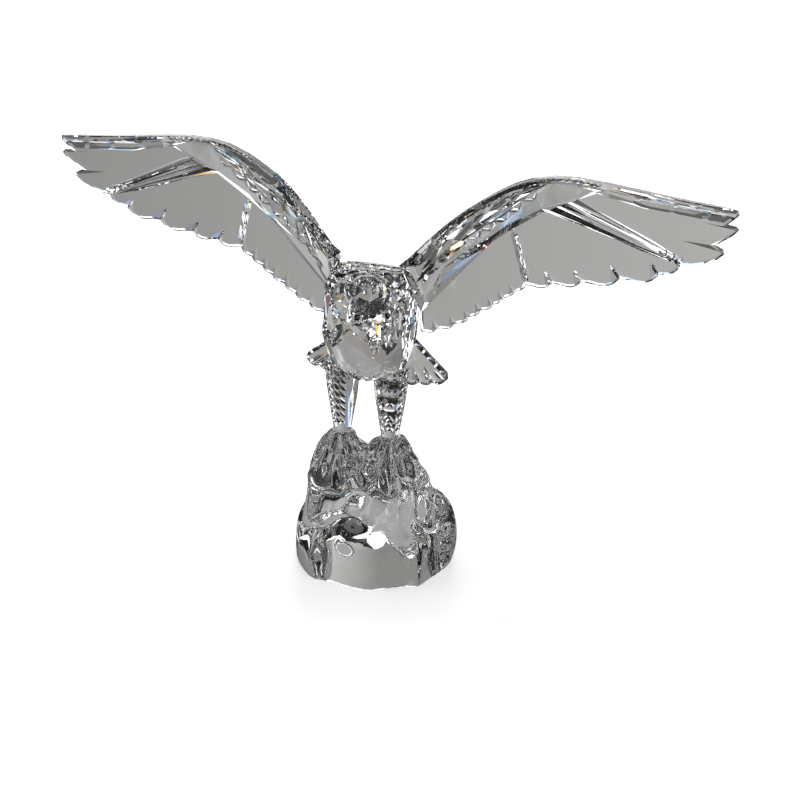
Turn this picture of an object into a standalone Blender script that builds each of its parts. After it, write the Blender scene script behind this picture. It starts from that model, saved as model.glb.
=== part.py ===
"""Cut-crystal eagle with raised wings, landing on a lump of cast crystal rock.

Metres, +Z up. The eagle faces -Y, its own left is +X, and the origin is the middle of the rock's flat underside.
The rock has its own sizes. The bird is a free form: its numbers are shares of its wingspan, counted as
millimetres of the real bird, with heights as they are above the table when it stands on the real rock.
"""

import math

import bmesh
import bpy
from mathutils import Vector
from mathutils.geometry import delaunay_2d_cdt

WINGSPAN = 0.252
GLUE_GAP = 0.0003
EYE_DIAMETER = 0.0022

ROCK_WIDTH = 0.056
ROCK_DEPTH = 0.052
ROCK_HEIGHT = 0.052
SLAB_HEIGHT = 0.0235
ROCK_GRAIN = 0.0013

SPAN_UNITS = 252.0
UNIT = WINGSPAN / SPAN_UNITS
ANKLE_LEVEL = 52.0
GAP = GLUE_GAP / UNIT

# Half thicknesses of a wing or the tail, and how far its polished edge is cut back, in the bird's units
EDGE_HALF = 0.4
TRAIL_HALF = 1.25
TRAIL_BEVEL = 0.9
LEAD_BEVEL = 1.7
WING_BACK = 6.6
WING_LEAN = 0.05

ANKLE = Vector((9.2, -5.2, ANKLE_LEVEL))
HIP = Vector((9.3, -4.2, 75.5))
HIP_NORMAL = Vector((0.42, -0.12, -0.9)).normalized()
TAIL_JOINT = Vector((0.0, 1.7, 72.0))
TAIL_NORMAL = Vector((0.0, 0.962, -0.272)).normalized()
NECK_JOINT = Vector((2.0, -8.2, 105.0))
NECK_NORMAL = Vector((0.24, -0.95, 0.2)).normalized()
SHOULDER_TOP = Vector((12.2, 115.2))
SHOULDER_LOW = Vector((15.3, 103.4))


def material(name, colour, roughness, ior=1.5, transmission=0.0):
    made = bpy.data.materials.new(name)
    made.use_nodes = True
    shader = made.node_tree.nodes["Principled BSDF"]
    shader.inputs["Base Color"].default_value = (*colour, 1.0)
    shader.inputs["Roughness"].default_value = roughness
    shader.inputs["Metallic"].default_value = 0.0
    shader.inputs["IOR"].default_value = ior
    shader.inputs["Transmission Weight"].default_value = transmission
    return made


def placed(point):
    """A point of the bird, in its own units, as it stands on the rock, in metres."""
    x, y, z = point
    return Vector((x * UNIT, y * UNIT, ROCK_HEIGHT + (z - ANKLE_LEVEL) * UNIT))


def add_object(name, bm, finish):
    """The mesh of bm as an object of its own."""
    bmesh.ops.recalc_face_normals(bm, faces=bm.faces)
    mesh = bpy.data.meshes.new(name)
    bm.to_mesh(mesh)
    bm.free()
    mesh.materials.append(finish)
    made = bpy.data.objects.new(name, mesh)
    bpy.context.scene.collection.objects.link(made)
    return made


def hull(points):
    """The convex blank around these points of the bird, in its own units."""
    bm = bmesh.new()
    for point in points:
        bm.verts.new(point)
    made = bmesh.ops.convex_hull(bm, input=bm.verts)
    inner = [v for v in made["geom_interior"] if isinstance(v, bmesh.types.BMVert)]
    bmesh.ops.delete(bm, geom=inner, context="VERTS")
    bmesh.ops.dissolve_limit(bm, angle_limit=0.001, verts=bm.verts, edges=bm.edges)
    return bm


def grind(bm, point, normal):
    """Cuts a convex blank flat at a plane, and closes it with one polished face."""
    geometry = [*bm.verts, *bm.edges, *bm.faces]
    cut = bmesh.ops.bisect_plane(
        bm, geom=geometry, dist=1e-5, plane_co=point, plane_no=normal, clear_outer=True
    )
    edges = [g for g in cut["geom_cut"] if isinstance(g, bmesh.types.BMEdge)]
    if edges:
        bmesh.ops.holes_fill(bm, edges=edges, sides=0)


def stand(bm):
    """Takes a blank from the bird's units to its place on the rock."""
    for vertex in bm.verts:
        vertex.co = placed(vertex.co)


def ring(centre, across, deep, sides, turn, square=1.0):
    """Points round one level of a blank. square under 1 makes an oval boxier."""
    points = []
    for i in range(sides):
        angle = 2 * math.pi * (i + turn) / sides
        c, s = math.cos(angle), math.sin(angle)
        x = math.copysign(abs(c) ** square, c) * across
        y = math.copysign(abs(s) ** square, s) * deep
        points.append(centre + Vector((x, y, 0)))
    return points


def join(target, other):
    """Joins another object's shape to target for good, as one piece of glass."""
    modifier = target.modifiers.new("join", "BOOLEAN")
    modifier.operation = "UNION"
    modifier.object = other
    hide(other)


def carve(target, cutter):
    modifier = target.modifiers.new("carve", "BOOLEAN")
    modifier.operation = "DIFFERENCE"
    modifier.object = cutter
    hide(cutter)


def hide(helper):
    helper.hide_render = True
    helper.display_type = "WIRE"


# Wings and tail: flat plates of crystal, ground to facets


def plane_through(a, b, c):
    """The plane through three (x, z, height) points, as a function of a point."""
    a, b, c = Vector(a), Vector(b), Vector(c)
    normal = (b - a).cross(c - a)

    def height(p):
        return a.z - (normal.x * (p[0] - a.x) + normal.y * (p[1] - a.y)) / normal.z

    return height


def scalloped(cusps, sag, steps, skew=1.4):
    """The edge from the first cusp to just before the last: one rounded feather tip between each two."""
    points = []
    for start, end in zip(cusps, cusps[1:]):
        start, along = Vector(start), Vector(end) - Vector(start)
        out = Vector((along.y, -along.x))
        for i in range(steps):
            t = i / steps
            points.append(start + along * t + out * sag * math.sin(math.pi * t**skew))
    return points


def inset(points, bevels):
    """A closed outline, anticlockwise, moved inwards by each corner's bevel."""
    moved = []
    for i, point in enumerate(points):
        before = (point - points[i - 1]).normalized()
        after = (points[(i + 1) % len(points)] - point).normalized()
        inward = Vector((-before.y - after.y, before.x + after.x))
        inward.normalize()
        share = max(0.55, inward.dot(Vector((-after.y, after.x))))
        moved.append(point + inward * bevels[i] / share)
    return moved


def inside(point, polygon):
    """Whether a point lies within a closed outline."""
    within = False
    for a, b in zip(polygon, polygon[1:] + polygon[:1]):
        if (a.y > point.y) != (b.y > point.y):
            within ^= point.x < a.x + (b.x - a.x) * (point.y - a.y) / (b.y - a.y)
    return within


class Face:
    """One polished side of a plate: its rim, its cuts, and how far each corner stands off the middle plane."""

    def __init__(self, rim, heights):
        self.points = [Vector(p) for p in rim]
        self.heights = list(heights)
        self.cuts = []
        self.rim = len(rim)

    def add(self, point, height):
        self.points.append(Vector(point))
        self.heights.append(height)
        return len(self.points) - 1

    def nearest(self, point):
        """The rim's corner nearest to a point."""
        point = Vector(point)
        return min(range(self.rim), key=lambda i: (self.points[i] - point).length)

    def cut(self, *corners):
        """A straight cut from corner to corner."""
        self.cuts += list(zip(corners, corners[1:]))

    def facets(self):
        """The corners as (point, height), the triangles between them, and which corner each rim corner became."""
        rim = [(i, (i + 1) % self.rim) for i in range(self.rim)]
        found = delaunay_2d_cdt(self.points, rim + self.cuts, [], 0, 1e-4, True)
        points, whole, origins = found[0], found[2], found[3]
        edge = self.points[: self.rim]
        triangles = [t for t in whole if inside(sum((points[i] for i in t), Vector((0, 0))) / 3, edge)]
        place = {source: i for i, sources in enumerate(origins) for source in sources}
        corners = []
        for i, sources in enumerate(origins):
            near = min(range(len(self.points)), key=lambda k: (self.points[k] - points[i]).length)
            corners.append((points[i], self.heights[sources[0] if sources else near]))
        return corners, triangles, [place[i] for i in range(self.rim)]


def plate(outline, front, back, edge_half, middle):
    """A closed plate between two faces, its narrow edge polished. middle gives the y of its middle plane."""
    bm = bmesh.new()

    def corner(point, height):
        return bm.verts.new((point[0], middle(point) + height, point[1]))

    count = len(outline)
    edges = [
        [corner(p, -edge_half[i]) for i, p in enumerate(outline)],
        [corner(p, edge_half[i]) for i, p in enumerate(outline)],
    ]
    for i in range(count):
        j = (i + 1) % count
        bm.faces.new((edges[0][i], edges[0][j], edges[1][j], edges[1][i]))
    for side, face, edge in ((-1, front, edges[0]), (1, back, edges[1])):
        corners, triangles, rim = face.facets()
        made = [corner(p, side * h) for p, h in corners]
        for triangle in triangles:
            order = triangle if side < 0 else triangle[::-1]
            bm.faces.new([made[i] for i in order])
        for i in range(count):
            j = (i + 1) % count
            loop = [made[rim[j]], made[rim[i]], edge[i], edge[j]]
            bm.faces.new(loop if side < 0 else loop[::-1])
    bmesh.ops.triangulate(bm, faces=[f for f in bm.faces if len(f.verts) > 3])
    return bm


# The left wing's outline as (x, z), seen from the front
ARM_CUSPS = [
    (15.3, 87.6),
    (21.5, 89.6),
    (28.0, 92.3),
    (33.4, 95.6),
    (37.6, 98.7),
    (42.2, 101.4),
    (46.0, 104.4),
    (50.0, 107.2),
    (54.2, 110.4),
]
HAND_CUSPS = [
    (54.2, 110.4),
    (63.6, 112.2),
    (74.0, 114.0),
    (87.2, 116.9),
    (100.4, 119.9),
    (107.4, 124.2),
]
LAST_FEATHER = [(110.5, 124.6), (115.0, 125.7), (119.0, 127.4), (121.6, 129.7)]
LAST_FEATHER += [(121.2, 131.4), (118.4, 132.6)]
MIDDLE_FEATHER = [(121.4, 134.4), (124.4, 136.6), (126.0, 138.5), (124.9, 139.6)]
MIDDLE_FEATHER += [(122.2, 139.9)]
FIRST_FEATHER = [(124.0, 141.6), (125.9, 143.4), (125.6, 145.0)]
LEADING_EDGE = [(117.0, 145.8), (104.0, 146.9), (93.0, 148.1), (82.5, 149.2)]
LEADING_EDGE += [(72.0, 150.0), (63.5, 149.7), (57.0, 148.4), (50.0, 145.8)]
LEADING_EDGE += [(44.0, 142.4), (38.0, 138.4), (31.5, 133.8), (25.3, 128.4)]
LEADING_EDGE += [(19.6, 122.6), (15.4, 118.0)]
ROOT_EDGE = [(15.4, 100.0), (15.3, 95.6)]
ELBOW = (49.6, 130.1)
WRIST = (61.2, 137.8)
HAND_START = (79.0, 146.0)
BAND_TOP = (72.6, 143.2)
LEAD_START = (84.0, 147.0)
BAR = [(96.3, 142.3), (111.0, 141.4)]
BAR_END = (122.0, 140.6)
ARM_LOW_BEND = (42.5, 124.7)
ARM_END = (61.0, 148.0)
# The notch where the arm joins the hand: its lower end, half its width, and the depth of each facet down it
NOTCH_END = (54.4, 111.4)
NOTCH_HALF = 0.9
NOTCH_DEPTHS = [0.9, 0.4, 1.0, 0.4, 1.0, 0.5]
# How far the folds of the band across the hand stand above or below its window, from the wrist to its top
BAND_CUTS = [0.0, 1.3, -0.5, 1.2, -0.4, 1.1, 0.0]
# The thick arm ends in a steep bevel along this line, and stands off the middle plane by the third number
ARM_STEP = [(17.4, 101.6, 3.8), (39.4, 125.2, 3.8), (48.2, 131.8, 3.3), (60.5, 138.9, 2.9), (78.3, 146.9, 2.4)]
ARM_LINE = [(23.6, 113.6), (33.6, 122.6), (44.6, 131.4), (52.6, 138.2), (58.0, 143.6)]
ARM_HALF = 3.7
# The rows of small covert feathers on the arm, each as its line and how far its points stand off by turns
COVERTS = [
    ([(24.4, 117.2), (34.6, 127.2), (45.6, 135.8), (55.4, 143.4)], (3.2, 4.4)),
    ([(21.4, 119.6), (31.0, 130.2), (43.0, 138.8), (54.0, 145.0)], (4.9, 3.9)),
]
COVERT_COUNT = 11
JOINT_SHARE = 0.7


def resampled(points, count):
    """Points at even spacing along a polyline, both ends included."""
    points = [Vector(p) for p in points]
    lengths = [(b - a).length for a, b in zip(points, points[1:])]
    whole, spaced = sum(lengths), []
    for i in range(count + 1):
        left = whole * i / count
        for a, b, length in zip(points, points[1:], lengths):
            if left <= length + 1e-9:
                spaced.append(a.lerp(b, min(1.0, left / length)))
                break
            left -= length
    return spaced


def lead_half(x):
    """Half the depth of the leading edge, deepest at the shoulder."""
    return 5.0 - 0.027 * x


def wing_middle(point):
    """The y of a wing's middle plane: upright, and swept forward where the arm meets the shoulder."""
    x, z = point
    above = max(0.0, -0.712 * (x - 15.6) + 0.702 * (z - 95.6))
    inner = min(1.0, max(0.0, (38.0 - x) / 23.0))
    return WING_BACK - WING_LEAN * (z - 125.0) - 8.0 * inner * min(1.0, above / 15.0)


def wing_outline():
    """The outline, each corner's bevel and half edge, and the first corner of each stretch."""
    arm = scalloped(ARM_CUSPS, 0.17, 4)
    hand = scalloped(HAND_CUSPS, 0.17, 5)
    tip = [HAND_CUSPS[-1], *LAST_FEATHER, *MIDDLE_FEATHER, *FIRST_FEATHER]
    lead = LEADING_EDGE[:7] + resampled(LEADING_EDGE[6:], 13)[1:]
    root = [SHOULDER_TOP, SHOULDER_LOW, *ROOT_EDGE]
    stretches = {"arm": arm, "hand": hand, "tip": tip, "lead": lead, "root": root}
    outline, starts = [], {}
    for name, points in stretches.items():
        starts[name] = len(outline)
        outline += [Vector(p) for p in points]
    bevels, halves = [], []
    for i, point in enumerate(outline):
        leading = starts["lead"] <= i <= starts["root"]
        bevels.append(LEAD_BEVEL if leading else TRAIL_BEVEL)
        joint = starts["root"] <= i <= starts["root"] + 2
        halves.append(lead_half(point.x) * (JOINT_SHARE if joint else 0.5) if leading or joint else EDGE_HALF)
    return outline, bevels, halves, starts


def wing_heights(rim, outline, starts):
    """How far each rim corner stands off the middle plane."""
    inner = plane_through((15.3, 87.6, TRAIL_HALF), (54.2, 110.4, TRAIL_HALF), (*ELBOW, 1.8))
    lower = plane_through((54.2, 110.4, TRAIL_HALF), (107.4, 124.2, 1.0), (*WRIST, 1.8))
    upper = plane_through((107.4, 124.2, 1.0), (122.0, 130.0, 0.9), (*HAND_START, 1.7))
    heights = []
    for i, point in enumerate(rim):
        if i < starts["hand"]:
            heights.append(inner(point))
        elif i < starts["tip"]:
            heights.append(lower(point))
        elif i < starts["lead"]:
            heights.append(upper(point))
        elif i <= starts["root"]:
            heights.append(lead_half(point.x))
        else:
            heights.append(ARM_HALF if i <= starts["root"] + 2 else inner(point))
    return heights, inner, lower, upper


def wing(name, side, finish):
    """One wing. side is 1 for the eagle's own left wing and -1 for its right."""
    outline, bevels, halves, starts = wing_outline()
    rim = inset(outline, bevels)
    heights, inner, lower, upper = wing_heights(rim, outline, starts)
    front = Face(rim, heights)
    back = Face(rim, heights)
    for face in (front, back):
        panel_cuts(face, inner, lower, upper, face is front)
    feather_cuts(front, starts)
    bm = plate(outline, front, back, halves, wing_middle)
    stand(bm)
    if side < 0:
        bmesh.ops.scale(bm, vec=(-1, 1, 1), verts=bm.verts)
    return add_object(name, bm, finish)


def panel_cuts(face, inner, lower, upper, carved):
    """The long cuts that part a wing's leading edge from its flat windows. Only the front is carved."""
    elbow = face.add(ELBOW, inner(ELBOW))
    wrist = face.add(WRIST, lower(WRIST))
    start = face.add(HAND_START, upper(HAND_START))
    band_low = face.nearest(HAND_CUSPS[-1])
    band_high = face.nearest(LAST_FEATHER[0])
    marks = [wrist]
    for k, rise in enumerate(BAND_CUTS[1:], 1):
        share = k / (len(BAND_CUTS) - 1)
        point = Vector(WRIST).lerp(Vector(BAND_TOP), share)
        base = lower(point) + (upper(point) - lower(point)) * share
        marks.append(face.add(point, base + (rise if carved else 0.0)))
    lead_start = face.nearest(LEAD_START)
    face.cut(elbow, *marks, start, lead_start)
    for k, mark in enumerate(marks):
        face.cut(mark, band_low if k < len(marks) / 2 else band_high)
    bar = [face.add(p, upper(p)) for p in BAR]
    face.cut(start, *bar, face.nearest(BAR_END))
    low = face.add(ARM_LOW_BEND, inner(ARM_LOW_BEND))
    face.cut(face.nearest(ROOT_EDGE[1]), low, elbow)
    line = [face.add(p, ARM_HALF) for p in ARM_LINE]
    face.cut(face.nearest(SHOULDER_LOW), *line, face.nearest(ARM_END))
    if carved:
        step = [face.add(p[:2], p[2]) for p in ARM_STEP]
        face.cut(face.nearest(ROOT_EDGE[0]), *step, lead_start)
        arm_feathers(face)
    steps = len(NOTCH_DEPTHS) + 1
    notch = [Vector(ELBOW).lerp(Vector(NOTCH_END), k / steps) for k in range(1, steps)]
    middle = [face.add(p, max(EDGE_HALF, inner(p) - d)) for p, d in zip(notch, NOTCH_DEPTHS)]
    foot = face.nearest(NOTCH_END)
    face.cut(elbow, *middle, foot)
    for offset, window in ((-NOTCH_HALF, inner), (NOTCH_HALF, lower)):
        wall = [p + Vector((offset, 0)) for p in notch]
        face.cut(elbow, *[face.add(p, window(p)) for p in wall], foot)


def arm_feathers(face):
    """The small covert feathers on the arm: two rows of points cut up and down between its two edges."""
    for line, halves in COVERTS:
        for i, point in enumerate(resampled(line, COVERT_COUNT)):
            face.add(point, halves[i % 2])


def feather_cuts(face, starts):
    """A short V cut running up from each cusp of the trailing edge."""
    arm_count = len(ARM_CUSPS) - 1
    for k in range(1, arm_count):
        v_cut(face, starts["arm"] + 4 * k, Vector((-0.35, 1.0)), 2.6, 0.5)
    for k in range(1, len(HAND_CUSPS) - 1):
        v_cut(face, starts["hand"] + 5 * k, Vector((-0.8, 1.0)), 4.4, 0.6)
    v_cut(face, starts["tip"] + 6, Vector((-1.0, 0.06)), 9.0, 0.6)
    v_cut(face, starts["tip"] + 11, Vector((-1.0, 0.1)), 6.0, 0.5)


def v_cut(face, corner, direction, length, depth):
    """Cuts a groove into a face from a corner of its rim, running out in a point."""
    base = face.heights[corner]
    end = face.points[corner] + direction.normalized() * length
    tip = face.add(end, base + 0.02)
    face.heights[corner] = max(EDGE_HALF, base - depth)
    face.cut(corner - 1, tip)
    face.cut(corner, tip)
    face.cut(corner + 1, tip)


# The tail: a fan of feathers spread flat behind the legs

TAIL_SIDE = [(27.4, 73.0), (26.9, 75.2), (20.0, 80.2), (11.0, 87.0), (4.2, 92.0), (0.0, 92.6)]
TAIL_CUSPS = [(0.0, 69.0), (5.6, 69.3), (11.2, 69.7), (16.6, 70.3), (21.8, 71.0), (26.2, 71.8)]
TAIL_HALF = 1.25
TAIL_BEVEL = 1.2
TAIL_HUB = Vector((0.0, 93.0))


def tail_front(z):
    """The y of the tail's front face at a height."""
    return TAIL_JOINT.y - TAIL_NORMAL.z / TAIL_NORMAL.y * (z - TAIL_JOINT.z)


def tail(finish):
    half = [Vector(p) for p in scalloped(TAIL_CUSPS, 0.16, 4, 1.2)]
    half += [Vector(p) for p in [TAIL_CUSPS[-1], *TAIL_SIDE]]
    outline = half + [Vector((-p.x, p.y)) for p in reversed(half[1:-1])]
    rim = inset(outline, [TAIL_BEVEL] * len(outline))
    faces = []
    for _ in range(2):
        face = Face(rim, [TAIL_HALF] * len(rim))
        for side in (1, -1):
            for cusp in TAIL_CUSPS[1:-1]:
                foot = face.nearest((cusp[0] * side, cusp[1]))
                v_cut(face, foot, TAIL_HUB - face.points[foot], 5.5, 0.7)
        faces.append(face)

    def middle(point):
        return tail_front(point[1]) + GAP + TAIL_HALF + 0.5

    bm = plate(outline, faces[0], faces[1], [EDGE_HALF] * len(outline), middle)
    stand(bm)
    return add_object("tail", bm, finish)


# Body, legs and head: solid blanks, ground flat facet by facet

BODY_RINGS = [
    (72.5, 8.0, 4.5, -3.5),
    (78.0, 14.0, 8.2, -3.5),
    (86.0, 17.3, 11.2, -2.8),
    (97.0, 18.6, 12.6, -1.2),
    (107.4, 16.4, 9.8, -0.2),
    (110.4, 14.6, 7.4, 0.2),
    (111.6, 12.6, 5.2, 0.4),
]
# Broad panes ground on the body: a point of each and the way it faces, for the eagle's left side
BELLY_PANE = ((0.0, -12.9, 87.0), (0.0, -0.97, -0.24))
FLANK_PANES = [
    ((12.2, -10.4, 86.0), (0.66, -0.68, -0.3)),
    ((12.9, -10.2, 97.0), (0.76, -0.64, 0.08)),
    ((12.6, 8.4, 88.0), (0.7, 0.68, -0.22)),
    ((13.2, 8.4, 100.0), (0.74, 0.64, 0.2)),
]
LEG_RINGS = [
    (52.0, 3.1, 2.9),
    (54.5, 3.4, 3.2),
    (59.0, 4.3, 4.0),
    (64.0, 5.2, 4.7),
    (69.0, 5.9, 5.2),
    (74.0, 6.4, 5.7),
    (79.0, 6.7, 6.1),
    (84.0, 6.6, 6.0),
]
HEAD_LEFT = Vector((0.793, 0.610, -0.027)).normalized()
HEAD_FORWARD = Vector((0.394, -0.545, -0.738)).normalized()
HEAD_UP = HEAD_FORWARD.cross(HEAD_LEFT)
HEAD = (HEAD_LEFT, HEAD_FORWARD, HEAD_UP)
SKULL = Vector((7.4, -19.1, 101.4))
SKULL_RADII = (7.4, 9.0, 7.0)
NECK = Vector((3.0, -13.4, 104.6))
NECK_RADII = (11.6, 9.4, 9.4)
EYE_SPOT = (5.2, 2.4, 4.6)


def reach(radii, normal):
    """How far out a plane with this normal touches an oval with these radii."""
    return math.sqrt(sum((r * n) ** 2 for r, n in zip(radii, normal)))


def gem(centre, axes, radii, rows):
    """A blank ground all round to facets that touch an oval. rows are (tilt, facets, turn, share of the reach)."""
    far = max(radii) * 1.5
    box = []
    for a in (-far, far):
        for b in (-far, far):
            box += [centre + axes[0] * a + axes[1] * b + axes[2] * c for c in (-far, far)]
    bm = hull(box)
    for tilt, count, turn, share in rows:
        for i in range(count):
            angle = 2 * math.pi * (i + turn) / count
            flat = math.cos(math.radians(tilt))
            local = (flat * math.cos(angle), flat * math.sin(angle), math.sin(math.radians(tilt)))
            normal = axes[0] * local[0] + axes[1] * local[1] + axes[2] * local[2]
            grind(bm, centre + normal * reach(radii, local) * share, normal)
    return bm


def body(finish):
    points = []
    for z, across, deep, y in BODY_RINGS:
        points += ring(Vector((0, y, z)), across, deep, 10, 0.0, 0.72)
    bm = hull(points)
    grind(bm, Vector(BELLY_PANE[0]), Vector(BELLY_PANE[1]).normalized())
    for side in (1, -1):
        mirror = Vector((side, 1, 1))
        for point, normal in FLANK_PANES:
            grind(bm, Vector(point) * mirror, (Vector(normal) * mirror).normalized())
        grind(bm, Vector((15.3 - GAP, 0, 0)) * mirror, Vector((side, 0, 0)))
        slope = (SHOULDER_TOP - SHOULDER_LOW).normalized()
        normal = Vector((slope.y * side, 0, -slope.x))
        corner = Vector((SHOULDER_LOW.x * side, 0, SHOULDER_LOW.y))
        grind(bm, corner - normal * GAP, normal)
        grind(bm, HIP * mirror, HIP_NORMAL * mirror)
    grind(bm, TAIL_JOINT, TAIL_NORMAL)
    grind(bm, NECK_JOINT, NECK_NORMAL)
    stand(bm)
    return add_object("body", bm, finish)


def leg(name, side, finish):
    points = []
    for k, (z, across, deep) in enumerate(LEG_RINGS):
        lean = (z - ANKLE_LEVEL) / (HIP.z - ANKLE_LEVEL)
        centre = ANKLE.lerp(Vector((HIP.x, HIP.y, ANKLE.z)), lean)
        points += ring(Vector((centre.x * side, centre.y, z)), across, deep, 12, 0.5 * (k % 2))
    bm = hull(points)
    mirror = Vector((side, 1, 1))
    grind(bm, (HIP + HIP_NORMAL * GAP) * mirror, -HIP_NORMAL * mirror)
    grind(bm, Vector((0, 0, ANKLE_LEVEL + GAP)), Vector((0, 0, -1)))
    stand(bm)
    return add_object(name, bm, finish)


def head_point(left, forward, up):
    """A point given along the head's own axes, from the middle of the skull."""
    return SKULL + HEAD_LEFT * left + HEAD_FORWARD * forward + HEAD_UP * up


def oval(left, forward, up, across, deep, sides):
    """A ring round the beak's own axis."""
    points = []
    for i in range(sides):
        angle = 2 * math.pi * i / sides
        points.append(head_point(left + across * math.cos(angle), forward, up + deep * math.sin(angle)))
    return points


def ball(centre, radius, rows, around):
    """A round ball, centre and radius in the bird's units."""
    bm = bmesh.new()
    bmesh.ops.create_uvsphere(bm, u_segments=around, v_segments=rows, radius=radius)
    bmesh.ops.translate(bm, vec=centre, verts=bm.verts)
    return bm


def head(finish):
    rows = [(-60, 6, 0.5, 1.0), (-30, 12, 0.0, 1.0), (0, 14, 0.5, 1.0)]
    rows += [(26, 14, 0.0, 1.0), (50, 10, 0.5, 1.0), (72, 6, 0.0, 1.0)]
    neck = gem(NECK, HEAD, NECK_RADII, rows)
    grind(neck, NECK_JOINT + NECK_NORMAL * GAP, -NECK_NORMAL)
    stand(neck)
    made = add_object("head", neck, finish)
    rows = [(-50, 6, 0.0, 1.0), (-20, 10, 0.5, 1.0), (8, 12, 0.0, 1.0), (62, 8, 0.5, 1.0), (90, 1, 0.0, 0.78)]
    skull = gem(SKULL, HEAD, SKULL_RADII, rows)
    for side in (1, -1):
        spot = (EYE_SPOT[0] * side, EYE_SPOT[1], EYE_SPOT[2])
        local = Vector([s / r**2 for s, r in zip(spot, SKULL_RADII)])
        normal = HEAD_LEFT * local.x + HEAD_FORWARD * local.y + HEAD_UP * local.z
        grind(skull, head_point(*spot), normal.normalized())
    stand(skull)
    join(made, add_object("skull", skull, finish))
    bill = hull(oval(0, 5.0, 2.2, 3.4, 3.6, 8) + oval(0, 10.4, 2.6, 2.5, 3.0, 8) + oval(0, 13.0, 2.2, 1.7, 2.4, 8))
    stand(bill)
    join(made, add_object("bill", bill, finish))
    hook = hull(oval(0, 11.4, 2.0, 1.9, 2.3, 8) + oval(0, 14.0, 0.8, 1.1, 1.5, 8) + oval(0, 14.5, -2.4, 0.35, 0.35, 6))
    stand(hook)
    join(made, add_object("hook", hook, finish))
    return made


def eye(name, side, head_piece, jet, finish):
    spot = head_point(EYE_SPOT[0] * side, EYE_SPOT[1], EYE_SPOT[2])
    radius = EYE_DIAMETER / 2
    socket = ball(placed(spot), radius + GLUE_GAP, 8, 12)
    carve(head_piece, add_object(name + "_socket", socket, finish))
    return add_object(name, ball(placed(spot), radius, 8, 12), jet)


# The rock: one cast lump, its top modelled with the eagle's feet

OUTLINE = [
    (-0.98, -0.31), (-0.81, -0.63), (-0.60, -0.86), (-0.44, -0.97), (-0.24, -0.94), (0.04, -1.0),
    (0.32, -1.01), (0.46, -0.91), (0.63, -0.75), (0.74, -0.67), (0.88, -0.63), (0.93, -0.51),
    (0.99, -0.13), (1.02, 0.04), (1.02, 0.32), (0.90, 0.72), (0.68, 0.92), (0.36, 0.99),
    (0.07, 0.92), (-0.21, 0.97), (-0.50, 0.92), (-0.75, 0.73), (-0.89, 0.43), (-1.0, 0.08),
]
SLAB_LEVELS = [(-0.12, 0.9), (0.0, 0.965), (0.09, 1.0), (0.5, 1.0), (0.78, 0.96), (0.93, 0.87), (1.0, 0.74)]
# Lumps as (x, y, height, radius) to (x, y, height, radius): x and y as shares of half the rock's width and
# depth, heights from the slab's top at 0 to the ankles at 1, and radii as shares of half the width
LUMPS = [
    ((-0.33, -0.20, 0.92, 0.14), (-0.50, -0.12, 0.56, 0.28)),
    ((-0.50, -0.12, 0.56, 0.28), (-0.48, -0.04, 0.0, 0.34)),
    ((0.33, -0.20, 0.92, 0.14), (0.44, -0.12, 0.56, 0.25)),
    ((0.44, -0.12, 0.56, 0.25), (0.48, -0.04, 0.0, 0.36)),
    ((0.0, -0.04, 0.44, 0.28), (0.0, 0.05, 0.0, 0.50)),
    ((-0.34, 0.16, 0.50, 0.26), (-0.30, 0.34, 0.0, 0.34)),
    ((0.30, 0.14, 0.44, 0.26), (0.28, 0.34, 0.0, 0.36)),
    ((-0.62, 0.14, 0.36, 0.18), (-0.56, 0.30, 0.0, 0.26)),
    ((0.62, 0.10, 0.26, 0.20), (0.6, 0.22, 0.0, 0.26)),
    ((-0.36, -0.40, 0.62, 0.13), (-0.40, -0.52, 0.10, 0.20)),
    ((0.38, -0.38, 0.60, 0.13), (0.42, -0.50, 0.10, 0.20)),
    ((-0.56, -0.42, 0.46, 0.13), (-0.58, -0.58, -0.06, 0.17)),
    ((-0.30, -0.44, 0.26, 0.15), (-0.26, -0.68, -0.12, 0.15)),
    ((0.28, -0.46, 0.40, 0.14), (0.28, -0.76, -0.2, 0.14)),
    ((0.56, -0.40, 0.34, 0.15), (0.58, -0.56, -0.08, 0.16)),
    ((0.74, -0.20, 0.10, 0.16), (0.78, -0.16, -0.1, 0.18)),
    ((-0.02, -0.54, 0.06, 0.17), (0.0, -0.50, 0.0, 0.17)),
    ((0.04, -0.80, -0.24, 0.235), (0.03, -0.70, -0.2, 0.2)),
]
# Each foot's toes as (turn from straight ahead, length); a toe falls away from the ankle and ends in a claw
TOES = [(-62.0, 11.5), (-22.0, 12.5), (20.0, 12.0), (160.0, 10.5)]
FOOT_TOP = 3.5


def rock_point(x, y, height):
    """A point of the rock from shares of its half width and half depth, and of the rise above the slab."""
    rise = ROCK_HEIGHT - SLAB_HEIGHT
    return Vector((x * ROCK_WIDTH / 2, y * ROCK_DEPTH / 2, SLAB_HEIGHT + height * rise))


def lump(bm, ends):
    """A smooth lump drawn round balls: (centre, radius) each."""
    points = []
    for centre, radius in ends:
        for k in range(-2, 3):
            tilt = k * math.pi / 5
            for i in range(10):
                angle = math.pi * (i + 0.5 * (k % 2)) / 5
                flat = math.cos(tilt)
                way = Vector((flat * math.cos(angle), flat * math.sin(angle), math.sin(tilt)))
                points.append(centre + way * radius)
    part = hull(points)
    mesh = bpy.data.meshes.new("lump")
    part.to_mesh(mesh)
    part.free()
    bm.from_mesh(mesh)
    bpy.data.meshes.remove(mesh)


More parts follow.
